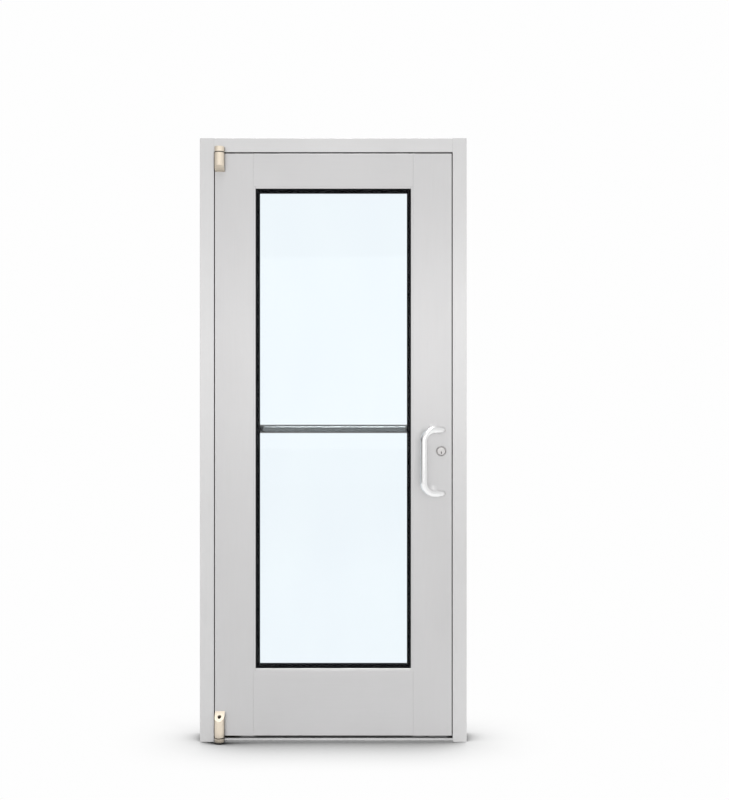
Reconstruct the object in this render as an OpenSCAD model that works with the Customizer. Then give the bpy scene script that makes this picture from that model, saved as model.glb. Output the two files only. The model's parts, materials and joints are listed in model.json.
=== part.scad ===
/* [Frame] */
// Outside width of the frame
frame_w = 965.2; // [900:0.1:1200]
// Outside height of the frame
frame_h = 2184.4; // [2000:0.1:2500]
// Width of the frame tube's face, seen from the front
frame_face = 50.8; // [48:0.1:60]
// Depth of the frame through the wall
frame_d = 114.3; // [110:0.1:150]
// Wall thickness of every aluminium tube
tube_wall = 3.2; // [2.8:0.1:3.6]
// How far each door stop stands into the opening
stop_reach = 15.9; // [14:0.1:18]
// Height of the threshold
sill_h = 14; // [14:0.1:15]
// Width of the threshold, front to back
sill_d = 127; // [120:1:140]

/* [Leaf] */
// Gap between the leaf's edges and the jambs
side_gap = 3.2; // [3:0.1:4]
// Gap between the leaf and the head
top_gap = 5; // [5:0.1:6]
// Height of the leaf's lower edge above the floor
leaf_z = 23; // [23:0.1:24]
// Thickness of the leaf
leaf_t = 44.45; // [44:0.05:45]
// Width of each stile
stile_w = 139.7; // [130:0.1:160]
// Height of the top rail
top_rail_h = 118.7; // [100:0.1:200]
// Height of the bottom rail
bottom_rail_h = 234.6; // [180:0.1:300]

/* [Glazing] */
// How far each glass stop stands beyond its stile or rail
glass_stop_w = 7.9; // [7:0.1:10]
// How far each glass stop lies below the leaf's face
glass_stop_set = 0.8; // [0.4:0.1:1.2]
// Overall thickness of the insulating glass unit
unit_t = 25.4; // [25:0.1:26]
// Thickness of each pane
pane_t = 6; // [4:0.5:8]
// Distance from a stile or rail to the inner edge of the black border
border_w = 21.4; // [16:0.1:30]

/* [Pivots] */
// Distance of the pivot axis from the leaf's hinge edge, and from the leaf's face
pivot_offset = 19.05; // [19:0.05:20]
// Radius of the round front of each knuckle
knuckle_r = 17.5; // [16:0.1:18]
// Radius of the pivot pins
pin_r = 6.35; // [6:0.05:6.5]

/* [Handles] */
// Height of the pull's upper arm, and of the push bar
upper_arm_z = 1130; // [1120:1:1150]
// Distance between the pull's arms
pull_cc = 228.6; // [220:0.1:240]
// Diameter of the pull
pull_dia = 25.4; // [22:0.1:26]
// Distance of the pull's feet from the leaf's lock edge
foot_backset = 35.6; // [34:0.1:37]
// Diameter of the push bar
bar_dia = 31.75; // [28:0.05:32]
// Distance from the leaf's back to the middle of the push bar
bar_standoff = 50.8; // [48:0.1:56]

/* [Lock] */
// Height of the lock cylinder's axis
lock_z = 1052; // [1050:1:1055]
// Distance of the lock cylinder's axis from the leaf's edge
lock_backset = 38.1; // [38:0.1:39]
// Length of the deadbolt from its pivot to its tip
bolt_reach = 51; // [50:0.5:52]

/* [Hidden] */

ANODISED = [0.84, 0.84, 0.84];
MILL = [0.68, 0.68, 0.69];
CHAMPAGNE = [0.84, 0.78, 0.70];
STEEL = [0.62, 0.63, 0.65];
SATIN = [0.80, 0.79, 0.80];
BLACK = [0.03, 0.03, 0.03];
GLASS = [0.94, 0.97, 0.99, 0.3];
PALE = [0.95, 0.95, 0.95];
BRASS = [0.72, 0.60, 0.36];

// Circles that meet a bore or a pin are fine, and small edge radii are coarse
ROUND = 64;
EDGE = 16;
// Overlap of a cutting shape past the surface that it cuts
CUT = 1;
// Running clearance of a pin in its bush, on the radius
RUN = 0.05;
// Clearance between parts that are screwed together
FIT = 0.1;
// Radius of the rounded long edges of the aluminium sections
EDGE_R = 0.8;

// Frame, from the driving sizes
half_w = frame_w / 2;
half_open = half_w - frame_face;
open_h = frame_h - frame_face;
front_y = -frame_d / 2;

// Leaf: its front face is flush with the frame's front
leaf_front = front_y;
leaf_back = leaf_front + leaf_t;
leaf_mid = leaf_front + leaf_t / 2;
half_leaf = half_open - side_gap;
leaf_top = open_h - top_gap;
leaf_h = leaf_top - leaf_z;
light_x = half_leaf - stile_w;
light_z0 = leaf_z + bottom_rail_h;
light_z1 = leaf_top - top_rail_h;
light_h = light_z1 - light_z0;

// Glass stop's section: u runs from the stile's edge to the glass, v from the leaf's middle to its face
stop_v = leaf_t / 2 - glass_stop_set;
gasket_t = 3.2;
stop_back_v = unit_t / 2 + gasket_t;
leg_t = 1.6;
hook_v = 9.2;
hook_t = 1.7;
hook_u = 0.8;
gasket_in = 12;
unit_gap = 3.4;

// Door stops: the weatherstrip stays clear of the leaf, whose back corner swings into this gap
stop_y0 = -6.5;
stop_y1 = 25.2;
stop_skin = 1.6;
strip_mid = 8;

// Channels that join the head to the jambs, and their screws
shear_len = 50;
shear_web = 5;
shear_flange = 4;
shear_screw_y = 32;
shear_screw_len = 14;

// Anchor holes through each jamb
anchor_r = 4.5;
anchor_y = 40;
anchor_z = [250, 800, frame_h - 784.4, frame_h - 234.4];
// Screw holes through the threshold
sill_hole_r = 3.3;
sill_head_r = 6.5;
sill_head_h = 3.2;
sill_hole_x = half_open - 91.8;
sill_hole_y = 36;

// Pivots
pivot_x = -half_leaf + pivot_offset;
pivot_y = leaf_front - pivot_offset;
plate_t = 3.2;
arm_t = 4.8;
knuckle_gap = 3.4;
washer_t = 3.1;
washer_r = 13.5;
top_bracket_z = open_h - plate_t;
top_bracket_h = 18.6;
top_knuckle_z = top_bracket_z - knuckle_gap;
sill_plate_z = sill_h + plate_t;
boss_z0 = 7;
boss_z1 = 20;
bottom_knuckle_z = boss_z1 + knuckle_gap;
bush_r = 9.5;
bush_h = 30;
bracket_y1 = -12;
bracket_y0 = -38;
bracket_screw_y = (bracket_y0 + bracket_y1) / 2;
bracket_x1 = pivot_x + 69.5;
// Slanted ends of the door's knuckles: heights at the round front and at the leaf's face
top_end_front = leaf_top - 47.6;
top_end_back = leaf_top - 66.1;
bottom_end_front = leaf_z + 59.5;
bottom_end_back = leaf_z + 88.5;
block_w = 70;
block_h = 40;
block_inset = tube_wall + 0.2;

// Screws
small_r = 2.4;
small_head_r = 4.6;
small_head_h = 2.3;
pan_head_h = 3;
arm_screw_x = [0, 20, 40];
arm_screw_len = 20;
bracket_screw_x = [0, 26, 52];
bracket_screw_len = 12;
sill_screw_len = 9;
strike_screw_len = 12;
face_screw_len = 7;
face_hole_len = 10;
// Cross slot for a driver
slot_w = 1.1;
slot_len = 5;
slot_depth = 1.2;

// Tie rods
rod_r = 4.75;
rod_end = 20;
rod_washer_r = 11;
rod_washer_t = 1.6;
nut_af = 14.3;
nut_h = 8;
top_rod_z = leaf_top - top_rail_h / 2;
bottom_rod_z = leaf_z + 77;

// Handles
foot_x = half_leaf - foot_backset;
pull_r = pull_dia / 2;
// The pull's feet stand out, turn sideways by the large angle of a 7-24-25 triangle, and end in the grip
pull_turn = atan2(24, 7);
pull_foot = 19.5;
pull_bend = 30;
pull_arm = 7;
pull_corner = 42;
bar_r = bar_dia / 2;
bar_bend = 38.1;
bar_wall = 3;
stud_r = 4.75;
stud_bite = 12;

// Lock
lock_x = half_leaf - lock_backset;
body_r = 14.4;
plug_r = 6.35;
plug_z = lock_z - 5.5;
plug_proud = 0.4;
body_len = 24.1;
// Each plug stands out of both ends of its body, so its cam turns clear of the body
plug_len = plug_proud + body_len + FIT;
body_bevel = 0.6;
body_front = 5.45;
collar_r = 18.8;
collar_in_r = 15.1;
collar_h = 6;
case_t = 25.4;
case_skin = 1.6;
case_x0 = lock_x - 24.5;
case_z0 = lock_z - 97;
case_z1 = lock_z + 33;
face_x = half_leaf - tube_wall;
face_z0 = lock_z - 118;
face_z1 = lock_z + 58;
bolt_x = lock_x + 18.5;
bolt_z = lock_z - 67;
bolt_half = 16.4;
bolt_t = 15.9;
window_z0 = lock_z - 86;
window_z1 = lock_z - 14;
window_t = 16.8;
pocket_t = 19.2;
bolt_pin_r = 3.15;
strike_t = 2.4;
strike_w = 28.6;
strike_z0 = lock_z - 102;
strike_z1 = lock_z + 2;

// ---------- shared shapes ----------

module round_rect(w, h, r = EDGE_R) {
    square([w - 2 * r, h], center = true);
    square([w, h - 2 * r], center = true);
    for (x = [-1, 1], y = [-1, 1]) translate([x * (w / 2 - r), y * (h / 2 - r)]) circle(r, $fn = EDGE);
}

module tube_section(w, h) {
    difference() {
        round_rect(w, h);
        square([w - 2 * tube_wall, h - 2 * tube_wall], center = true);
    }
}

// Extrudes a section along X: the section's x becomes Y and its y becomes Z
module along_x(len) {
    rotate([90, 0, 90]) linear_extrude(len, center = true) children();
}

// A round bar along Y, starting at y0
module rod_y(r, y0, len) {
    translate([0, y0 + len, 0]) rotate([90, 0, 0]) cylinder(r = r, h = len, $fn = ROUND);
}

module rod_x(r, x0, len) {
    translate([x0, 0, 0]) rotate([0, 90, 0]) cylinder(r = r, h = len, $fn = ROUND);
}

// Flat-head screw pointing down, with its head's top at the origin
module flat_screw(r, head_r, head_h, len, grow = 0) {
    translate([0, 0, -len - grow]) cylinder(r = r + grow, h = len + grow, $fn = ROUND);
    translate([0, 0, -head_h]) cylinder(r1 = r + grow, r2 = head_r + grow, h = head_h, $fn = ROUND);
    if (grow > 0) cylinder(r = head_r + grow, h = CUT, $fn = ROUND);
}

module cross_slot() {
    for (turn = [0, 90]) rotate(turn) cube([slot_len, slot_w, 2 * slot_depth], center = true);
}

module driven_screw(len) {
    difference() {
        flat_screw(small_r, small_head_r, small_head_h, len);
        cross_slot();
    }
}

// Places of the screws that hold the pivot brackets to the head and to the threshold
module head_screw_places() {
    for (x = bracket_screw_x) translate([pivot_x + x, bracket_screw_y, top_bracket_z])
        rotate([180, 0, 0]) children();
}

module sill_screw_places() {
    for (x = bracket_screw_x) translate([pivot_x + x, bracket_screw_y, sill_plate_z]) children();
}

module screw_hole(len) {
    flat_screw(small_r, small_head_r, small_head_h, len, FIT);
}

// ---------- frame ----------

module jamb_tube() {
    difference() {
        linear_extrude(frame_h) tube_section(frame_face, frame_d);
        for (z = anchor_z) translate([0, anchor_y, z]) rod_x(anchor_r, -frame_face, 2 * frame_face);
    }
}

// Holes in the jamb's inner wall for the shear block's screws, on the side that faces the opening
module shear_screw_places() {
    for (y = [-1, 1]) translate([0, y * shear_screw_y, frame_h - frame_face / 2]) children();
}

module hinge_jamb() {
    color(ANODISED) difference() {
        translate([-half_w + frame_face / 2, 0, 0]) jamb_tube();
        shear_screw_places() rod_x(small_r, -half_open - 2 * tube_wall, 3 * tube_wall);
    }
}

module strike_jamb() {
    color(ANODISED) difference() {
        translate([half_w - frame_face / 2, 0, 0]) jamb_tube();
        shear_screw_places() rod_x(small_r, half_open - tube_wall, 3 * tube_wall);
        strike_block(strike_w + 2 * FIT, strike_z0 - FIT, strike_z1 + FIT, -CUT, strike_t);
        strike_block(pocket_t, window_z0, window_z1, -CUT, 2 * tube_wall);
        strike_screw_places() screw_hole(strike_screw_len);
    }
}

module strike_screw_places() {
    for (z = [strike_z0 + 7, strike_z1 - 7])
        translate([half_open, leaf_mid, z]) rotate([0, -90, 0]) children();
}

// A block on the strike jamb's inner face, from depth d0 to d1 into the jamb
module strike_block(w, z0, z1, d0, d1) {
    translate([half_open + d0, leaf_mid - w / 2, z0]) cube([d1 - d0, w, z1 - z0]);
}

module strike_plate() {
    color(SATIN) difference() {
        strike_block(strike_w, strike_z0, strike_z1, 0, strike_t);
        strike_block(pocket_t, window_z0, window_z1, -CUT, strike_t + CUT);
        strike_screw_places() screw_hole(strike_screw_len);
    }
}

module strike_screws() {
    color(STEEL) strike_screw_places() driven_screw(strike_screw_len);
}

module head() {
    color(ANODISED) difference() {
        translate([0, 0, frame_h - frame_face / 2]) along_x(2 * half_open) tube_section(frame_d, frame_face);
        head_screw_places() screw_hole(bracket_screw_len);
    }
}

// A channel inside each end of the head, with its web against the jamb
module shear_block() {
    outer_h = frame_face - 2 * tube_wall - 0.4;
    outer_d = frame_d - 2 * tube_wall - 0.4;
    inner_h = outer_h - 2 * shear_flange;
    difference() {
        translate([0, -outer_d / 2, -outer_h / 2]) cube([shear_len, outer_d, outer_h]);
        translate([shear_web, -outer_d / 2 - CUT, -inner_h / 2])
            cube([shear_len, outer_d + 2 * CUT, inner_h]);
        for (y = [-1, 1]) translate([0, y * shear_screw_y, 0])
            rod_x(small_r + FIT, -CUT, shear_web + 2 * CUT);
    }
}

module shear_blocks() {
    color(MILL) difference() {
        for (side = [0, 1]) mirror([side, 0, 0])
            translate([-half_open, 0, frame_h - frame_face / 2]) shear_block();
        head_screw_places() screw_hole(bracket_screw_len);
    }
}

module shear_block_screws() {
    color(STEEL) for (side = [0, 1]) mirror([side, 0, 0]) shear_screw_places() {
        rod_x(small_r, -half_open - shear_screw_len + shear_web, shear_screw_len);
        translate([-half_open + shear_web, 0, 0]) rotate([0, 90, 0]) difference() {
            cylinder(r = small_head_r, h = pan_head_h, $fn = ROUND);
            translate([0, 0, pan_head_h]) cross_slot();
        }
    }
}

// Bevelled plate with fine grooves on top and hollows inside
module threshold_section() {
    bevel = 6;
    floor_t = 2.5;
    hollow_h = sill_h - 6;
    groove_pitch = 4.6;
    mid_w = 58;
    side_w = 12;
    difference() {
        polygon([[-sill_d / 2, 0], [sill_d / 2, 0], [sill_d / 2, sill_h - bevel],
            [sill_d / 2 - bevel, sill_h], [-sill_d / 2 + bevel, sill_h], [-sill_d / 2, sill_h - bevel]]);
        for (i = [-5 : 5]) translate([i * groove_pitch, sill_h]) square(2, center = true);
        translate([-mid_w / 2, floor_t]) square([mid_w, hollow_h]);
        for (y = [-49, 49]) translate([y - side_w / 2, floor_t]) square([side_w, hollow_h]);
    }
}

// Countersunk hole through the threshold, from its top at the origin
module sill_hole() {
    translate([0, 0, -sill_h - CUT]) cylinder(r = sill_hole_r, h = sill_h + 2 * CUT, $fn = ROUND);
    translate([0, 0, -sill_head_h])
        cylinder(r1 = sill_hole_r, r2 = sill_head_r, h = sill_head_h + FIT, $fn = ROUND);
}

module threshold() {
    color(MILL) difference() {
        along_x(2 * half_open) threshold_section();
        for (x = [-1, 1], y = [-1, 1]) translate([x * sill_hole_x, y * sill_hole_y, sill_h])
            sill_hole();
        sill_screw_places() screw_hole(bracket_screw_len);
    }
}

// Door stop: u runs into the opening from the jamb or head, and y through the wall
module door_stop_section() {
    difference() {
        translate([0, stop_y0]) square([stop_reach, stop_y1 - stop_y0]);
        translate([stop_skin, 0.5]) square([stop_reach - 2 * stop_skin, stop_y1 - 0.5 - stop_skin]);
        translate([strip_mid - 1.6, stop_y0 - CUT]) square([3.2, 3]);
        translate([strip_mid - 3, stop_y0 + 1.5]) square([6, 2.5]);
    }
}

module weatherstrip_section() {
    translate([strip_mid - 1.4, stop_y0 - 0.2]) square([2.8, 2]);
    translate([strip_mid - 2.8, stop_y0 + 1.6]) square([5.6, 2.2]);
    intersection() {
        translate([strip_mid, stop_y0 - 0.5]) circle(2.5, $fn = ROUND);
        translate([0, stop_y0 - 5]) square([2 * strip_mid, 5]);
    }
}

// Places a stop or strip on the hinge jamb, on the strike jamb, or under the head
module on_hinge_jamb() {
    translate([-half_open, 0, sill_h]) linear_extrude(open_h - sill_h) children();
}

module on_strike_jamb() {
    mirror([1, 0, 0]) on_hinge_jamb() children();
}

module under_head() {
    translate([0, 0, open_h]) mirror([0, 0, 1]) along_x(2 * (half_open - stop_reach))
        mirror([1, -1]) children();
}

module hinge_door_stop() {
    color(ANODISED) on_hinge_jamb() door_stop_section();
}

module strike_door_stop() {
    color(ANODISED) on_strike_jamb() door_stop_section();
}

module head_door_stop() {
    color(ANODISED) under_head() door_stop_section();
}

module hinge_weatherstrip() {
    color(BLACK) on_hinge_jamb() weatherstrip_section();
}

module strike_weatherstrip() {
    color(BLACK) on_strike_jamb() weatherstrip_section();
}

module head_weatherstrip() {
    color(BLACK) under_head() weatherstrip_section();
}

// ---------- pivots ----------

// D-shaped plan: round towards the front, with flat sides that run back to y1
module knuckle_plan(y1) {
    translate([pivot_x, pivot_y]) circle(knuckle_r, $fn = ROUND);
    translate([pivot_x - knuckle_r, pivot_y]) square([2 * knuckle_r, y1 - pivot_y]);
}

// The plate that joins a frame knuckle to the head or the threshold
module bracket_plan() {
    translate([pivot_x - knuckle_r, pivot_y]) square([2 * knuckle_r, bracket_y1 - pivot_y]);
    translate([pivot_x - knuckle_r, bracket_y0])
        square([bracket_x1 - pivot_x + knuckle_r, bracket_y1 - bracket_y0]);
}

module pin_bore(z0, h, r = pin_r) {
    translate([pivot_x, pivot_y, z0]) cylinder(r = r, h = h, $fn = ROUND);
}

module top_pivot_bracket() {
    color(CHAMPAGNE) difference() {
        union() {
            translate([0, 0, top_bracket_z]) linear_extrude(top_bracket_h) knuckle_plan(front_y);
            translate([0, 0, top_bracket_z]) linear_extrude(plate_t) bracket_plan();
        }
        pin_bore(top_bracket_z - CUT, top_bracket_h - 2);
        head_screw_places() screw_hole(bracket_screw_len);
    }
}

module bottom_pivot_bracket() {
    color(CHAMPAGNE) difference() {
        union() {
            translate([0, 0, boss_z0]) linear_extrude(boss_z1 - boss_z0) knuckle_plan(-sill_d / 2);
            translate([0, 0, sill_h]) linear_extrude(plate_t) bracket_plan();
        }
        translate([pivot_x - 2 * knuckle_r, -sill_d / 2, 0]) cube([4 * knuckle_r, sill_d, sill_h]);
        pin_bore(boss_z0 + 2, boss_z1);
        sill_screw_places() screw_hole(bracket_screw_len);
    }
}

module top_pivot_pin() {
    color(STEEL) pin_bore(top_bracket_z - bush_h - 4, bush_h + top_bracket_h + 1);
}

module bottom_pivot_pin() {
    color(STEEL) pin_bore(boss_z0 + 2, boss_z1 - boss_z0 - 2 + bush_h + 7);
}

module thrust_washers() {
    color(BLACK) for (z = [top_bracket_z - washer_t, boss_z1]) difference() {
        pin_bore(z, washer_t, washer_r);
        pin_bore(z - CUT, washer_t + 2 * CUT);
    }
}

module bracket_screws() {
    color(STEEL) {
        head_screw_places() driven_screw(bracket_screw_len);
        sill_screw_places() driven_screw(sill_screw_len);
    }
}

// Everything on one side of the slanted plane that ends a door knuckle
module slant_cut(front_z, back_z, up) {
    run = leaf_front - pivot_y + knuckle_r;
    slope = atan((back_z - front_z) / run);
    size = 200;
    translate([pivot_x, leaf_front - run, front_z]) rotate([slope, 0, 0])
        translate([-size / 2, -size / 2, up ? 0 : -size]) cube(size);
}

module top_arm_screw_places() {
    for (x = arm_screw_x) translate([pivot_x + x, leaf_mid, top_knuckle_z]) children();
}

module bottom_arm_screw_places() {
    for (x = arm_screw_x) translate([pivot_x + x, leaf_mid, bottom_knuckle_z]) rotate([180, 0, 0]) children();
}

module arm_plan() {
    translate([pivot_x - knuckle_r, pivot_y])
        square([2 * knuckle_r, leaf_front + block_inset + 0.4 - pivot_y]);
    translate([-half_leaf + block_inset, leaf_front + block_inset])
        square([block_w, leaf_t - 2 * block_inset]);
}

module top_pivot_arm() {
    color(CHAMPAGNE) difference() {
        union() {
            translate([0, 0, top_end_back - 5]) linear_extrude(top_knuckle_z - top_end_back + 5)
                knuckle_plan(leaf_front);
            translate([0, 0, leaf_top - arm_t]) linear_extrude(top_knuckle_z - leaf_top + arm_t) arm_plan();
        }
        slant_cut(top_end_front, top_end_back, false);
        pin_bore(top_knuckle_z - bush_h, bush_h + CUT, bush_r);
        pin_bore(top_knuckle_z - bush_h - 5, 8, pin_r + 0.25);
        top_arm_screw_places() screw_hole(arm_screw_len);
    }
}

module bottom_pivot_arm() {
    color(CHAMPAGNE) difference() {
        union() {
            translate([0, 0, bottom_knuckle_z])
                linear_extrude(bottom_end_back - bottom_knuckle_z + 5) knuckle_plan(leaf_front);
            translate([0, 0, bottom_knuckle_z]) linear_extrude(arm_t) arm_plan();
        }
        slant_cut(bottom_end_front, bottom_end_back, true);
        pin_bore(bottom_knuckle_z - CUT, bush_h + CUT, bush_r);
        pin_bore(bottom_knuckle_z, 120, pin_r + 0.25);
        bottom_arm_screw_places() screw_hole(arm_screw_len);
    }
}

module pivot_bushes() {
    color(BRASS) for (z = [top_knuckle_z - bush_h, bottom_knuckle_z]) difference() {
        pin_bore(z, bush_h, bush_r);
        pin_bore(z - CUT, bush_h + 2 * CUT, pin_r + RUN);
    }
}

// Solid blocks inside the ends of the hinge stile, which the pivot arms are screwed to
module pivot_blocks() {
    color(MILL) difference() {
        for (z = [leaf_top - arm_t - block_h, bottom_knuckle_z + arm_t])
            translate([-half_leaf + block_inset, leaf_front + block_inset, z])
                cube([block_w, leaf_t - 2 * block_inset, block_h]);
        top_arm_screw_places() screw_hole(arm_screw_len);
        bottom_arm_screw_places() screw_hole(arm_screw_len);
    }
}

module arm_screws() {
    color(STEEL) {
        top_arm_screw_places() driven_screw(arm_screw_len);
        bottom_arm_screw_places() driven_screw(arm_screw_len);
    }
}

// ---------- leaf ----------

// Grooves in a member's glass side, which hold the hooks of the glass stops
module hook_grooves(edge) {
    for (side = [-1, 1]) translate([edge - hook_u - FIT, side * (hook_v + hook_t / 2)])
        translate([0, -hook_t / 2 - FIT]) square([2 * hook_u + CUT, hook_t + 2 * FIT]);
}

module member_section(w) {
    difference() {
        tube_section(w, leaf_t);
        hook_grooves(w / 2);
    }
}

module rod_hole_places() {
    for (z = [top_rod_z, bottom_rod_z]) translate([0, leaf_mid, z]) children();
}

// Room for a pivot arm at the top and the bottom of the hinge stile
module arm_notches() {
    for (z = [leaf_top - arm_t - FIT, leaf_z - CUT])
        translate([pivot_x - knuckle_r - FIT, leaf_front - CUT, z])
            cube([2 * knuckle_r + 2 * FIT, tube_wall + 2 * CUT, arm_t + CUT + 0.6 + FIT]);
}

module hinge_stile() {
    color(ANODISED) difference() {
        translate([-half_leaf + stile_w / 2, leaf_mid, leaf_z]) linear_extrude(leaf_h)
            member_section(stile_w);
        arm_notches();
        rod_hole_places() rod_x(rod_r + 0.4, -light_x - 2 * tube_wall, 3 * tube_wall);
        translate([-foot_x, 0, upper_arm_z]) rod_y(stud_r + FIT, leaf_back - 2 * tube_wall, 3 * tube_wall);
    }
}

module lock_stile() {
    color(ANODISED) difference() {
        translate([half_leaf - stile_w / 2, leaf_mid, leaf_z]) linear_extrude(leaf_h)
            mirror([1, 0]) member_section(stile_w);
        rod_hole_places() rod_x(rod_r + 0.4, light_x - tube_wall, 3 * tube_wall);
        for (z = [upper_arm_z, upper_arm_z - pull_cc]) translate([foot_x, 0, z])
            rod_y(stud_r + FIT, leaf_front - CUT, leaf_t + 2 * CUT);
        translate([lock_x, 0, lock_z]) rod_y(body_r + body_bevel, leaf_front - CUT, leaf_t + 2 * CUT);
        lock_block(face_x - FIT, half_leaf + CUT, case_t + 2 * FIT, face_z0 - FIT, face_z1 + FIT);
    }
}

module rail(h, z_mid, up) {
    translate([0, leaf_mid, z_mid]) along_x(2 * light_x) rotate(up ? 90 : -90) member_section(h);
}

module top_rail() {
    color(ANODISED) rail(top_rail_h, leaf_top - top_rail_h / 2, false);
}

module bottom_rail() {
    color(ANODISED) rail(bottom_rail_h, leaf_z + bottom_rail_h / 2, true);
}

module tie_rods() {
    color(STEEL) rod_hole_places() rod_x(rod_r, -light_x - rod_end, 2 * (light_x + rod_end));
}

module tie_rod_nuts() {
    color(STEEL) rod_hole_places() for (side = [0, 1]) mirror([side, 0, 0])
        translate([light_x + tube_wall, 0, 0]) rotate([0, 90, 0]) difference() {
            union() {
                cylinder(r = rod_washer_r, h = rod_washer_t, $fn = ROUND);
                cylinder(r = nut_af / sqrt(3), h = rod_washer_t + nut_h, $fn = 6);
            }
            translate([0, 0, -CUT]) cylinder(r = rod_r, h = rod_washer_t + nut_h + 2 * CUT, $fn = ROUND);
        }
}

// ---------- glazing ----------

module glass_stop_section() {
    polygon([[0, stop_v], [glass_stop_w - EDGE_R, stop_v], [glass_stop_w, stop_v - EDGE_R],
        [glass_stop_w, stop_back_v], [leg_t, stop_back_v], [leg_t, hook_v], [-hook_u, hook_v],
        [-hook_u, hook_v + hook_t], [0, hook_v + hook_t]]);
}

// side 1 is the outer face of the leaf, and side -1 the inner face
module side_stop(side, hinge) {
    translate([hinge ? -light_x : light_x, leaf_mid, light_z0]) linear_extrude(light_h)
        mirror([hinge ? 0 : 1, 0]) mirror([0, side > 0 ? 1 : 0]) glass_stop_section();
}

module rail_stop(side, top) {
    translate([0, leaf_mid, top ? light_z1 : light_z0]) along_x(2 * (light_x - glass_stop_w))
        mirror([0, top ? 1 : 0]) mirror([side > 0 ? 1 : 0, 0]) mirror([1, -1]) glass_stop_section();
}

module outer_stop_hinge() {
    color(ANODISED) side_stop(1, true);
}

module outer_stop_lock() {
    color(ANODISED) side_stop(1, false);
}

module outer_stop_top() {
    color(ANODISED) rail_stop(1, true);
}

module outer_stop_bottom() {
    color(ANODISED) rail_stop(1, false);
}

module inner_stop_hinge() {
    color(ANODISED) side_stop(-1, true);
}

module inner_stop_lock() {
    color(ANODISED) side_stop(-1, false);
}

module inner_stop_top() {
    color(ANODISED) rail_stop(-1, true);
}

module inner_stop_bottom() {
    color(ANODISED) rail_stop(-1, false);
}

// A flat slab in the leaf's opening, inset from the stiles and rails, from depth v0 to v1
module slab(inset, v0, v1) {
    translate([-light_x + inset, leaf_mid + v0, light_z0 + inset])
        cube([2 * (light_x - inset), v1 - v0, light_h - 2 * inset]);
}

module slab_ring(out_inset, in_inset, v0, v1) {
    difference() {
        slab(out_inset, v0, v1);
        slab(in_inset, v0 - CUT, v1 + CUT);
    }
}

// Runs behind the stops, with a raised lip that shows inside them
module gasket() {
    slab_ring(2.2, gasket_in, -stop_back_v, -unit_t / 2);
    slab_ring(glass_stop_w, gasket_in, -stop_back_v - 2.4, -unit_t / 2);
}

module outer_gasket() {
    color(BLACK) gasket();
}

module inner_gasket() {
    color(BLACK) translate([0, 2 * leaf_mid, 0]) mirror([0, 1, 0]) gasket();
}

module outer_pane() {
    color(GLASS) slab(unit_gap, -unit_t / 2, -unit_t / 2 + pane_t);
}

module inner_pane() {
    color(GLASS) slab(unit_gap, unit_t / 2 - pane_t, unit_t / 2);
}

module pane_spacer() {
    color(BLACK) slab_ring(unit_gap, border_w, -unit_t / 2 + pane_t, unit_t / 2 - pane_t);
}

module setting_blocks() {
    pad_t = 2 * hook_v - 1;
    pad_len = 100;
    color(BLACK) for (x = [-1, 1]) translate([x * light_x / 2 - pad_len / 2, leaf_mid - pad_t / 2, light_z0])
        cube([pad_len, pad_t, unit_gap]);
}

// ---------- handles ----------

// The upper half of the pull, from its foot to the middle of the grip
module pull_half() {
    bend_x = -pull_bend * (1 - cos(pull_turn));
    bend_y = -pull_foot - pull_bend * sin(pull_turn);
    translate([0, 0, pull_cc / 2]) {
        rod_y(pull_r, -pull_foot, pull_foot);
        translate([-pull_bend, -pull_foot, 0]) rotate(-pull_turn)
            rotate_extrude(angle = pull_turn, $fn = ROUND) translate([pull_bend, 0])
                circle(pull_r, $fn = ROUND);
        translate([bend_x, bend_y, 0]) rotate(-90 - pull_turn) {
            rod_x(pull_r, 0, pull_arm);
            translate([pull_arm, 0, -pull_corner]) rotate([90, 0, 0])
                rotate_extrude(angle = 90, $fn = ROUND) translate([pull_corner, 0])
                    circle(pull_r, $fn = ROUND);
            translate([pull_arm + pull_corner, 0, -pull_cc / 2])
                cylinder(r = pull_r, h = pull_cc / 2 - pull_corner, $fn = ROUND);
        }
    }
}

module pull_handle() {
    color(PALE) translate([foot_x, leaf_front, upper_arm_z - pull_cc / 2]) difference() {
        union() {
            pull_half();
            mirror([0, 0, 1]) pull_half();
        }
        for (z = [-1, 1]) translate([0, 0, z * pull_cc / 2]) rod_y(stud_r, -stud_bite, stud_bite + CUT);
    }
}

module push_bar_half() {
    foot = bar_standoff - bar_bend;
    translate([foot_x, leaf_back, 0]) {
        rod_y(bar_r, 0, foot);
        translate([-bar_bend, foot, 0]) rotate_extrude(angle = 90, $fn = ROUND)
            translate([bar_bend, 0]) circle(bar_r, $fn = ROUND);
    }
    translate([0, leaf_back + bar_standoff, 0]) rod_x(bar_r, 0, foot_x - bar_bend);
}

module push_bar() {
    color(STEEL) translate([0, 0, upper_arm_z]) difference() {
        union() {
            push_bar_half();
            mirror([1, 0, 0]) push_bar_half();
        }
        translate([0, leaf_back + bar_standoff, 0])
            rod_x(bar_r - bar_wall, -foot_x + bar_bend, 2 * (foot_x - bar_bend));
        for (x = [-1, 1]) translate([x * foot_x, 0, 0]) rod_y(stud_r, leaf_back - CUT, stud_bite + CUT);
    }
}

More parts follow.
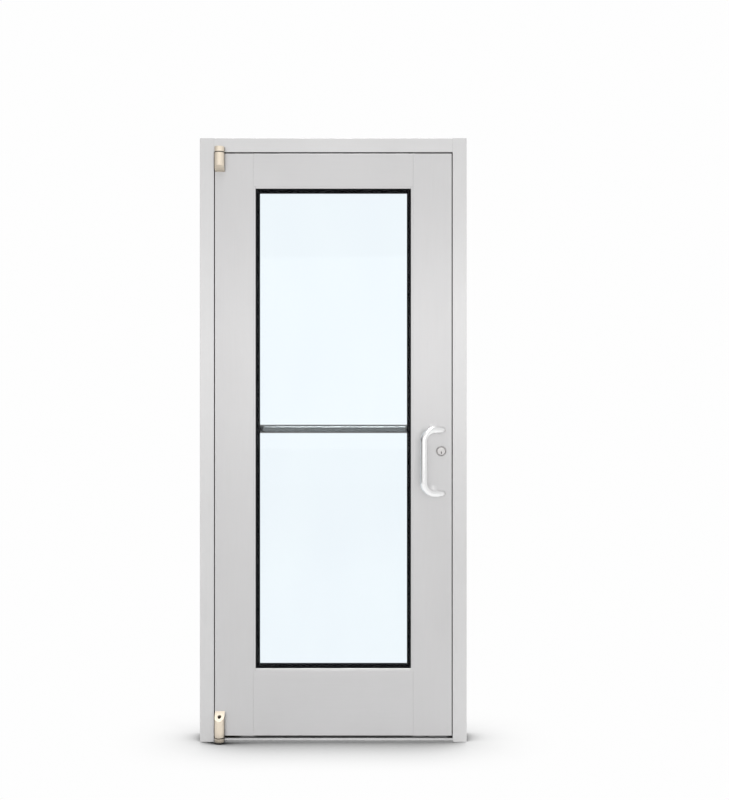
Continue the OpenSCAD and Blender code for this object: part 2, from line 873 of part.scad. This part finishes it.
// One stud joins the pull's upper foot to the push bar, and one bolt and one stud hold the other feet
module handle_studs() {
    head_r = 9.5;
    head_h = 5;
    socket_r = 3.6;
    socket_depth = 3;
    nut_stud_len = 16;
    color(STEEL) {
        translate([foot_x, 0, upper_arm_z]) rod_y(stud_r, leaf_front - stud_bite, leaf_t + 2 * stud_bite);
        translate([foot_x, 0, upper_arm_z - pull_cc]) {
            rod_y(stud_r, leaf_front - stud_bite, leaf_t + stud_bite);
            difference() {
                rod_y(head_r, leaf_back, head_h);
                rotate([90, 0, 0]) translate([0, 0, -leaf_back - head_h - CUT])
                    cylinder(r = socket_r, h = socket_depth + CUT, $fn = 6);
            }
        }
        translate([-foot_x, 0, upper_arm_z])
            rod_y(stud_r, leaf_back - nut_stud_len, nut_stud_len + stud_bite);
    }
}

module stud_nuts() {
    color(STEEL) translate([-foot_x, leaf_back - tube_wall, upper_arm_z]) rotate([90, 0, 0]) difference() {
        cylinder(r = nut_af / sqrt(3), h = nut_h, $fn = 6);
        translate([0, 0, -CUT]) cylinder(r = stud_r, h = nut_h + 2 * CUT, $fn = ROUND);
    }
}

// ---------- lock ----------

// A block in the leaf's lock edge, centred on the leaf's thickness
module lock_block(x0, x1, t, z0, z1) {
    translate([x0, leaf_mid - t / 2, z0]) cube([x1 - x0, t, z1 - z0]);
}

module face_screw_places() {
    for (z = [face_z0 + 8, face_z1 - 8]) translate([half_leaf, leaf_mid, z]) rotate([0, 90, 0]) children();
}

module lock_case() {
    color(STEEL) {
        difference() {
            union() {
                lock_block(case_x0, face_x - FIT, case_t, case_z0, case_z1);
                lock_block(face_x - 4, face_x - FIT, case_t, face_z0, face_z1);
            }
            lock_block(case_x0 + case_skin, face_x - 4, case_t - 2 * case_skin, case_z0 + case_skin,
                case_z1 - case_skin);
            lock_block(face_x - 5, face_x + CUT, window_t, window_z0, window_z1);
            translate([lock_x, 0, lock_z]) rod_y(body_r + FIT, leaf_front, leaf_t);
            face_screw_places() screw_hole(face_hole_len);
        }
        translate([bolt_x, 0, bolt_z]) rod_y(bolt_pin_r, leaf_mid - case_t / 2, case_t);
    }
}

module lock_faceplate() {
    color(SATIN) difference() {
        lock_block(face_x, half_leaf, case_t, face_z0, face_z1);
        lock_block(face_x - CUT, half_leaf + CUT, window_t, window_z0, window_z1);
        face_screw_places() screw_hole(face_hole_len);
    }
}

module faceplate_screws() {
    color(STEEL) face_screw_places() driven_screw(face_screw_len);
}

// The outer lock cylinder's body, with the bore for its plug below its middle
module cylinder_body() {
    difference() {
        translate([lock_x, leaf_front - body_front, lock_z]) rotate([-90, 0, 0]) {
            cylinder(r1 = body_r - body_bevel, r2 = body_r, h = body_bevel, $fn = ROUND);
            translate([0, 0, body_bevel]) cylinder(r = body_r, h = body_len - body_bevel, $fn = ROUND);
        }
        translate([lock_x, 0, plug_z]) rod_y(plug_r + RUN, leaf_front - body_front - CUT, body_len + 2 * CUT);
    }
}

// The same shape on the leaf's inner face
module on_inner_face() {
    translate([0, 2 * leaf_mid, 0]) mirror([0, 1, 0]) children();
}

module outer_cylinder() {
    color(SATIN) cylinder_body();
}

module inner_cylinder() {
    color(SATIN) on_inner_face() cylinder_body();
}

module collar() {
    translate([lock_x, leaf_front, lock_z]) rotate([90, 0, 0]) rotate_extrude($fn = ROUND)
        polygon([[collar_in_r, 0], [collar_r, 0], [collar_r, 2.2], [collar_r - 2.4, collar_h],
            [collar_in_r + EDGE_R, collar_h], [collar_in_r, collar_h - EDGE_R]]);
}

module cylinder_collars() {
    color(SATIN) {
        collar();
        on_inner_face() collar();
    }
}

// The plug, whose keyway widens to one side in the middle
module key_plug() {
    key_t = 2.6;
    key_h = 9.6;
    key_rib = 2.4;
    key_depth = 14;
    color(BRASS) difference() {
        translate([lock_x, 0, plug_z])
            rod_y(plug_r, leaf_front - body_front - plug_proud, plug_len);
        translate([lock_x - key_t / 2, leaf_front - body_front - CUT, plug_z - key_h / 2])
            cube([key_t, key_depth, key_h]);
        translate([lock_x, leaf_front - body_front - CUT, plug_z - key_rib / 2])
            cube([key_t / 2 + EDGE_R, key_depth, key_rib]);
    }
}

// The lever on the back of a plug, which swings the deadbolt
module cam() {
    cam_t = 2.4;
    cam_r = 11;
    hub_r = 6;
    lever_w = 5;
    translate([lock_x, leaf_front - body_front - plug_proud + plug_len + cam_t, plug_z]) rotate([90, 0, 0])
        linear_extrude(cam_t) {
            circle(hub_r, $fn = ROUND);
            intersection() {
                circle(cam_r, $fn = ROUND);
                translate([-lever_w / 2, 0]) square([lever_w, cam_r + CUT]);
            }
        }
}

module key_cam() {
    color(STEEL) cam();
}

module thumbturn() {
    wing_y = leaf_back + body_front + plug_proud;
    wing_w = 7;
    wing_h = 22;
    wing_len = 14;
    base_r = 9;
    base_t = 3;
    color(SATIN) {
        translate([lock_x, 0, plug_z]) {
            rod_y(plug_r, leaf_back + body_front + plug_proud - plug_len, plug_len);
            rod_y(base_r, wing_y, base_t);
            translate([0, wing_y + base_t / 2, 0]) rotate([-90, 0, 0]) linear_extrude(wing_len) {
                square([wing_w, wing_h], center = true);
                for (z = [-1, 1]) translate([0, z * wing_h / 2]) circle(wing_w / 2, $fn = ROUND);
            }
        }
        on_inner_face() cam();
    }
}

module deadbolt() {
    color(SATIN) translate([bolt_x, leaf_mid + bolt_t / 2, bolt_z]) rotate([90, 0, 0])
        linear_extrude(bolt_t) difference() {
            union() {
                circle(bolt_half, $fn = ROUND);
                intersection() {
                    circle(bolt_reach, $fn = ROUND);
                    translate([-bolt_half, 0]) square([2 * bolt_half, bolt_reach]);
                }
            }
            circle(bolt_pin_r + RUN, $fn = ROUND);
        }
}

hinge_jamb();
strike_jamb();
head();
threshold();
hinge_door_stop();
strike_door_stop();
head_door_stop();
hinge_weatherstrip();
strike_weatherstrip();
head_weatherstrip();
shear_blocks();
shear_block_screws();
strike_plate();
strike_screws();
top_pivot_bracket();
bottom_pivot_bracket();
top_pivot_pin();
bottom_pivot_pin();
thrust_washers();
bracket_screws();
hinge_stile();
lock_stile();
top_rail();
bottom_rail();
tie_rods();
tie_rod_nuts();
top_pivot_arm();
bottom_pivot_arm();
pivot_bushes();
pivot_blocks();
arm_screws();
outer_stop_hinge();
outer_stop_lock();
outer_stop_top();
outer_stop_bottom();
inner_stop_hinge();
inner_stop_lock();
inner_stop_top();
inner_stop_bottom();
outer_gasket();
inner_gasket();
outer_pane();
inner_pane();
pane_spacer();
setting_blocks();
pull_handle();
push_bar();
handle_studs();
stud_nuts();
lock_case();
lock_faceplate();
faceplate_screws();
outer_cylinder();
inner_cylinder();
cylinder_collars();
key_plug();
key_cam();
thumbturn();
deadbolt();
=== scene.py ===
"""Looks of the glass door: finishes for every CAD node, floor, soft light and camera. Metres, +Z up."""
import json
import math

import bpy
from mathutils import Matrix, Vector

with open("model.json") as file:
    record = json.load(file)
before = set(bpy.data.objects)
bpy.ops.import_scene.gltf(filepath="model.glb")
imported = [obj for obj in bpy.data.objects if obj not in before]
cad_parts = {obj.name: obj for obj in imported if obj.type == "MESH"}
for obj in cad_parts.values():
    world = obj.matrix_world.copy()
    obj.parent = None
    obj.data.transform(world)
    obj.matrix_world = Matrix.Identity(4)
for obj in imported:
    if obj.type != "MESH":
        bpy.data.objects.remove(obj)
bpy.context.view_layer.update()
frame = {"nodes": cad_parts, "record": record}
nodes = frame["nodes"]

# ---------- node helpers ----------


def new_material(name):
    """An empty node material with its Principled shader: (material, tree, shader)."""
    material = bpy.data.materials.new(name)
    material.use_nodes = True
    tree = material.node_tree
    tree.nodes.clear()
    output = tree.nodes.new("ShaderNodeOutputMaterial")
    shader = tree.nodes.new("ShaderNodeBsdfPrincipled")
    tree.links.new(shader.outputs["BSDF"], output.inputs["Surface"])
    return material, tree, shader


def set_inputs(node, **values):
    for name, value in values.items():
        node.inputs[name.replace("_", " ")].default_value = value


def object_space(tree, scale=(1.0, 1.0, 1.0)):
    """Object coordinates, in metres, multiplied by scale along each axis."""
    coordinates = tree.nodes.new("ShaderNodeTexCoord")
    mapping = tree.nodes.new("ShaderNodeMapping")
    mapping.inputs["Scale"].default_value = scale
    tree.links.new(coordinates.outputs["Object"], mapping.inputs["Vector"])
    return mapping.outputs["Vector"]


NOISE = (0.3, 0.7)


def noise(tree, scale, detail=3.0, roughness=0.5):
    texture = tree.nodes.new("ShaderNodeTexNoise")
    texture.inputs["Scale"].default_value = 1.0
    texture.inputs["Detail"].default_value = detail
    texture.inputs["Roughness"].default_value = roughness
    tree.links.new(object_space(tree, scale), texture.inputs["Vector"])
    return texture.outputs["Fac"]


def ramp(tree, factor, stops):
    """A colour ramp from (position, colour) stops."""
    node = tree.nodes.new("ShaderNodeValToRGB")
    elements = node.color_ramp.elements
    while len(elements) < len(stops):
        elements.new(0.5)
    for element, (position, colour) in zip(elements, stops):
        element.position = position
        element.color = (*colour, 1.0)
    tree.links.new(factor, node.inputs["Fac"])
    return node.outputs["Color"]


def grey_ramp(tree, factor, stops):
    """The same in greys, from (position, level) stops."""
    return ramp(tree, factor, [(position, (level,) * 3) for position, level in stops])


def map_range(tree, value, old, new):
    """Maps value from the range old to the range new."""
    node = tree.nodes.new("ShaderNodeMapRange")
    set_inputs(node, From_Min=old[0], From_Max=old[1], To_Min=new[0], To_Max=new[1])
    tree.links.new(value, node.inputs["Value"])
    return node.outputs["Result"]


def remap(tree, factor, low, high):
    """Maps a noise, which stays mostly within NOISE, to low to high."""
    return map_range(tree, factor, NOISE, (low, high))


def two_tones(tree, factor, tones):
    """The first of two colours where a noise is low, and the second where it is high."""
    return ramp(tree, factor, list(zip(NOISE, tones)))


def combine(tree, operation, first, second):
    node = tree.nodes.new("ShaderNodeMath")
    node.operation = operation
    for socket, value in zip(node.inputs, (first, second)):
        if isinstance(value, (int, float)):
            socket.default_value = value
        else:
            tree.links.new(value, socket)
    return node.outputs["Value"]


def bump(tree, shader, height, strength, distance):
    node = tree.nodes.new("ShaderNodeBump")
    set_inputs(node, Strength=strength, Distance=distance)
    tree.links.new(height, node.inputs["Height"])
    tree.links.new(node.outputs["Normal"], shader.inputs["Normal"])


def multiply_colours(tree, first, second):
    node = tree.nodes.new("ShaderNodeMix")
    node.data_type = "RGBA"
    node.blend_type = "MULTIPLY"
    node.inputs[0].default_value = 1.0
    tree.links.new(first, node.inputs[6])
    tree.links.new(second, node.inputs[7])
    return node.outputs[2]


def paint_crevice_shade(tree, shader, colour, reach, stops):
    """Colours shader with painted shade: darker, and with reflections tinted darker, deep in narrow gaps and
    corners, where little light gets in.
    """
    sky_share = tree.nodes.new("ShaderNodeAmbientOcclusion")
    sky_share.samples = 8
    sky_share.inputs["Distance"].default_value = reach
    painted_shade = grey_ramp(tree, sky_share.outputs["AO"], stops)
    tree.links.new(multiply_colours(tree, colour, painted_shade), shader.inputs["Base Color"])
    tree.links.new(painted_shade, shader.inputs["Specular Tint"])


def shades(colour, spread):
    """Two colours, darker and lighter than colour by the share spread."""
    return [tuple(c * (1 - spread) for c in colour), tuple(min(1.0, c * (1 + spread)) for c in colour)]


# ---------- finishes ----------

FINE = 2600.0  # grain lines a metre, across the grain
LONG = 9.0  # the same along it
# Painted shade: how far, and how deep, colour and reflections darken in narrow gaps (aluminium and turned
# metal) and in corners (lacquered pivots).
GAP_SHADE_REACH = 0.02
CORNER_SHADE_REACH = 0.05
GAP_SHADE_STOPS = [(0.15, 0.01), (0.4, 1.0)]  # colour kept at each share of open sky, deep to open
CORNER_SHADE_STOPS = [(0.5, 0.12), (0.93, 1.0)]
CROSS_GRAIN = {"x": (LONG, FINE, FINE), "z": (FINE, FINE, LONG)}


def extruded_aluminium(name, colour, axis, roughness=0.36, metallic=0.85):
    """Satin anodised aluminium: die lines along axis, faint clouding, a slightly etched surface, and painted
    shade in narrow gaps.
    """
    material, tree, shader = new_material(name)
    set_inputs(shader, Metallic=metallic)
    lines = noise(tree, CROSS_GRAIN[axis], detail=2.0)
    clouds = noise(tree, (3.0, 3.0, 1.6), detail=4.0)
    tone = combine(tree, "ADD", combine(tree, "MULTIPLY", lines, 0.4), combine(tree, "MULTIPLY", clouds, 0.6))
    paint_crevice_shade(tree, shader, two_tones(tree, tone, shades(colour, 0.05)), GAP_SHADE_REACH, GAP_SHADE_STOPS)
    etch = noise(tree, (900.0, 900.0, 900.0), detail=2.0)
    tree.links.new(remap(tree, etch, roughness - 0.04, roughness + 0.04), shader.inputs["Roughness"])
    bump(tree, shader, combine(tree, "ADD", lines, etch), 0.12, 0.00012)
    return material


def turned_metal(name, colour, roughness, metallic=1.0, grain=(700.0, 700.0, 5000.0), spread=0.05):
    """Brushed, cast or plated metal, with its grain's scale given along each axis, and painted shade in
    narrow gaps.
    """
    material, tree, shader = new_material(name)
    set_inputs(shader, Metallic=metallic)
    lines = noise(tree, grain, detail=2.0)
    clouds = noise(tree, (45.0, 45.0, 45.0), detail=3.0)
    tone = combine(tree, "MULTIPLY", combine(tree, "ADD", lines, clouds), 0.5)
    dark, light = shades(colour, spread)
    paint_crevice_shade(tree, shader, ramp(tree, tone, [(0.35, dark), (0.65, light)]), GAP_SHADE_REACH, GAP_SHADE_STOPS)
    tree.links.new(remap(tree, lines, roughness - 0.05, roughness + 0.05), shader.inputs["Roughness"])
    bump(tree, shader, lines, 0.1, 0.00008)
    return material


def metallic_paint(name, colour, roughness):
    """Metallic lacquer: fine flakes under a smooth coat with slight orange peel, and painted shade in
    corners.
    """
    material, tree, shader = new_material(name)
    set_inputs(shader, Metallic=0.45, Coat_Weight=0.2, Coat_Roughness=0.25)
    flakes = noise(tree, (3500.0, 3500.0, 3500.0), detail=1.0)
    paint_crevice_shade(tree, shader, two_tones(tree, flakes, shades(colour, 0.1)), CORNER_SHADE_REACH, CORNER_SHADE_STOPS)
    peel = noise(tree, (420.0, 420.0, 420.0), detail=2.0)
    tree.links.new(remap(tree, peel, roughness - 0.05, roughness + 0.05), shader.inputs["Roughness"])
    bump(tree, shader, peel, 0.15, 0.00015)
    return material


def rubber(name, colour, roughness=0.6, spread=0.25, specular=0.15):
    """Extruded rubber: dull, with fine pores."""
    material, tree, shader = new_material(name)
    set_inputs(shader, Specular_IOR_Level=specular)
    pores = noise(tree, (1500.0, 1500.0, 1500.0), detail=3.0)
    tree.links.new(two_tones(tree, pores, shades(colour, spread)), shader.inputs["Base Color"])
    tree.links.new(remap(tree, pores, roughness - 0.08, roughness + 0.08), shader.inputs["Roughness"])
    bump(tree, shader, pores, 0.25, 0.0002)
    return material


MIRRORED_TINT = (0.93, 0.95, 0.97)
MIRROR = 0.01  # share mirrored head on, by each face of a coated pane


def clear_glass(name, tint):
    """Clear float glass: a slight tint on what is behind, under a clean mirror of the surroundings."""
    material, tree, shader = new_material(name)
    set_inputs(shader, Metallic=1.0)
    waves = noise(tree, (5.0, 5.0, 2.0), detail=1.0)
    tree.links.new(two_tones(tree, waves, shades(MIRRORED_TINT, 0.02)), shader.inputs["Base Color"])
    tree.links.new(remap(tree, waves, 0.02, 0.04), shader.inputs["Roughness"])
    bump(tree, shader, waves, 0.02, 0.002)
    through = tree.nodes.new("ShaderNodeBsdfTransparent")
    tree.links.new(two_tones(tree, waves, shades(tint, 0.002)), through.inputs["Color"])
    facing = tree.nodes.new("ShaderNodeLayerWeight")
    facing.inputs["Blend"].default_value = 0.5
    edge = combine(tree, "MULTIPLY", combine(tree, "POWER", facing.outputs["Facing"], 5.0), 1.0 - MIRROR)
    mirrored = combine(tree, "ADD", edge, MIRROR)
    mix = tree.nodes.new("ShaderNodeMixShader")
    tree.links.new(mirrored, mix.inputs[0])
    tree.links.new(through.outputs["BSDF"], mix.inputs[1])
    tree.links.new(shader.outputs["BSDF"], mix.inputs[2])
    output = next(n for n in tree.nodes if n.type == "OUTPUT_MATERIAL")
    tree.links.new(mix.outputs["Shader"], output.inputs["Surface"])
    return material


FRAME_GREY = (0.655, 0.651, 0.651)
LEAF_GREY = (0.605, 0.60, 0.602)
MILL_GREY = (0.30, 0.30, 0.30)

frame_upright = extruded_aluminium("frame_upright", FRAME_GREY, "z")
frame_level = extruded_aluminium("frame_level", FRAME_GREY, "x")
leaf_upright = extruded_aluminium("leaf_upright", LEAF_GREY, "z")
leaf_level = extruded_aluminium("leaf_level", LEAF_GREY, "x")
LEVEL = ("head", "head_door_stop", "top_rail", "bottom_rail", "outer_stop_top", "outer_stop_bottom",
         "inner_stop_top", "inner_stop_bottom")

finishes = {
    "mill_aluminium": extruded_aluminium("mill_aluminium", MILL_GREY, "x", roughness=0.5),
    "pivot_metal": metallic_paint("champagne_lacquer", (0.80, 0.705, 0.575), 0.42),
    "fixing_steel": turned_metal("zinc_plate", (0.60, 0.61, 0.62), 0.32, grain=(900.0, 900.0, 900.0)),
    "satin_chrome": turned_metal("satin_chrome", (0.58, 0.565, 0.56), 0.2, grain=(4000.0, 500.0, 4000.0)),
    "black_rubber": rubber("black_rubber", (0.006, 0.006, 0.007)),
    "black_plastic": rubber("black_plastic", (0.005, 0.005, 0.006), roughness=0.6, specular=0.0),
    "clear_glass": clear_glass("clear_glass", (0.969, 0.988, 1.0)),
    "bush_bronze": turned_metal("bush_bronze", (0.52, 0.38, 0.20), 0.38, grain=(1200.0, 1200.0, 1200.0)),
    "pull_metal": turned_metal("pull_metal", (0.95, 0.95, 0.95), 0.2, grain=(4000.0, 4000.0, 400.0),
                               spread=0.02),
    # Painted shade: the push bar is aluminium, given a dark base colour for the shade it sits in behind the
    # glass.
    "bar_metal": turned_metal("bar_metal", (0.19, 0.18, 0.17), 0.12, grain=(400.0, 4000.0, 4000.0)),
}


def finish_for(node, slot):
    if slot == "frame_aluminium":
        return frame_level if node in LEVEL else frame_upright
    if slot == "leaf_aluminium":
        return leaf_level if node in LEVEL else leaf_upright
    return finishes[slot]


for part in frame["record"]["subparts"]:
    mesh = nodes[part["node"]].data
    mesh.materials.clear()
    mesh.materials.append(finish_for(part["node"], part["material_slot"]))

# ---------- stage: floor, surroundings, lights, camera ----------

PAPER = 0.99
FLOOR_SIZE = 24.0
SHADOW_REACH = 0.34
FLOOR_SHADES = [(0.4, 0.02), (0.51, 0.18), (0.55, 0.36), (0.62, 0.55), (0.78, 0.82), (0.96, PAPER)]
DOME_LEVELS = [(0.0, 0.74), (0.5, 0.87), (0.62, 0.8), (1.0, 0.74)]  # from straight down to straight up
FLAG_LEVELS = [(0.025, 0.25), (0.14, 1.0)]  # from the far left to the right


def seen_directly(tree):
    """1 for what the camera sees straight or through glass, and 0 for what reflections and light meet."""
    return tree.nodes.new("ShaderNodeLightPath").outputs["Is Camera Ray"]


def build_floor():
    """A white floor with a soft contact shadow, which reflections see as pale grey."""
    bpy.ops.mesh.primitive_plane_add(size=FLOOR_SIZE, location=(0.0, 0.0, 0.0))
    floor = bpy.context.object
    floor.name = "floor"
    material = bpy.data.materials.new("floor_paper")
    material.use_nodes = True
    tree = material.node_tree
    tree.nodes.clear()
    output = tree.nodes.new("ShaderNodeOutputMaterial")
    shade = tree.nodes.new("ShaderNodeAmbientOcclusion")
    shade.samples = 16
    shade.inputs["Distance"].default_value = SHADOW_REACH
    colour = grey_ramp(tree, shade.outputs["AO"], FLOOR_SHADES)
    shown = tree.nodes.new("ShaderNodeEmission")
    tree.links.new(colour, shown.inputs["Color"])
    lit = tree.nodes.new("ShaderNodeBsdfDiffuse")
    lit.inputs["Color"].default_value = (0.9, 0.9, 0.9, 1.0)
    mix = tree.nodes.new("ShaderNodeMixShader")
    tree.links.new(seen_directly(tree), mix.inputs[0])
    tree.links.new(lit.outputs["BSDF"], mix.inputs[1])
    tree.links.new(shown.outputs["Emission"], mix.inputs[2])
    tree.links.new(mix.outputs["Shader"], output.inputs["Surface"])
    floor.data.materials.append(material)


def build_world():
    """White behind everything, and a soft studio dome for reflections, with a dark flag on the left."""
    world = bpy.data.worlds.new("studio")
    world.use_nodes = True
    tree = world.node_tree
    tree.nodes.clear()
    output = tree.nodes.new("ShaderNodeOutputWorld")
    coordinates = tree.nodes.new("ShaderNodeTexCoord")
    split = tree.nodes.new("ShaderNodeSeparateXYZ")
    tree.links.new(coordinates.outputs["Generated"], split.inputs["Vector"])
    level = grey_ramp(tree, map_range(tree, split.outputs["Z"], (-1.0, 1.0), (0.0, 1.0)), DOME_LEVELS)
    flag = grey_ramp(tree, map_range(tree, split.outputs["X"], (-1.0, 1.0), (0.0, 1.0)), FLAG_LEVELS)
    dome = tree.nodes.new("ShaderNodeBackground")
    tree.links.new(multiply_colours(tree, level, flag), dome.inputs["Color"])
    white = tree.nodes.new("ShaderNodeBackground")
    white.inputs["Color"].default_value = (PAPER, PAPER, PAPER, 1.0)
    mix = tree.nodes.new("ShaderNodeMixShader")
    tree.links.new(seen_directly(tree), mix.inputs[0])
    tree.links.new(dome.outputs["Background"], mix.inputs[1])
    tree.links.new(white.outputs["Background"], mix.inputs[2])
    tree.links.new(mix.outputs["Shader"], output.inputs["Surface"])
    bpy.context.scene.world = world


def softbox(name, place, target, width, height, power):
    data = bpy.data.lights.new(name, "AREA")
    data.shape = "RECTANGLE"
    data.size = width
    data.size_y = height
    data.energy = power
    light = bpy.data.objects.new(name, data)
    light.location = place
    aim = Vector(target) - Vector(place)
    light.rotation_euler = aim.to_track_quat("-Z", "Y").to_euler()
    light.visible_camera = False
    bpy.context.scene.collection.objects.link(light)


def build_lights():
    """Softboxes: one in front, one high overhead, which the push bar mirrors, and one behind."""
    softbox("front", (0.3, -4.6, 1.6), (0.0, 0.0, 1.3), 4.8, 1.5, 16.0)
    softbox("overhead", (0.0, -2.2, 6.2), (0.0, 0.0, 1.1), 1.5, 4.0, 150.0)
    softbox("rear", (0.0, 4.6, 1.6), (0.0, 0.0, 1.3), 4.8, 1.5, 14.0)


CAMERA_PLACE = (0.113, -4.037, 1.237)
FOCAL_MM = 49.5
SENSOR_MM = 36.0


def build_camera():
    data = bpy.data.cameras.new("camera")
    data.sensor_fit = "VERTICAL"
    data.sensor_height = SENSOR_MM
    data.lens = FOCAL_MM
    camera = bpy.data.objects.new("camera", data)
    camera.location = CAMERA_PLACE
    camera.rotation_euler = (math.radians(90.0), 0.0, 0.0)
    bpy.context.scene.collection.objects.link(camera)
    bpy.context.scene.camera = camera


build_floor()
build_world()
build_lights()
build_camera()
bpy.context.scene.view_settings.view_transform = "Standard"
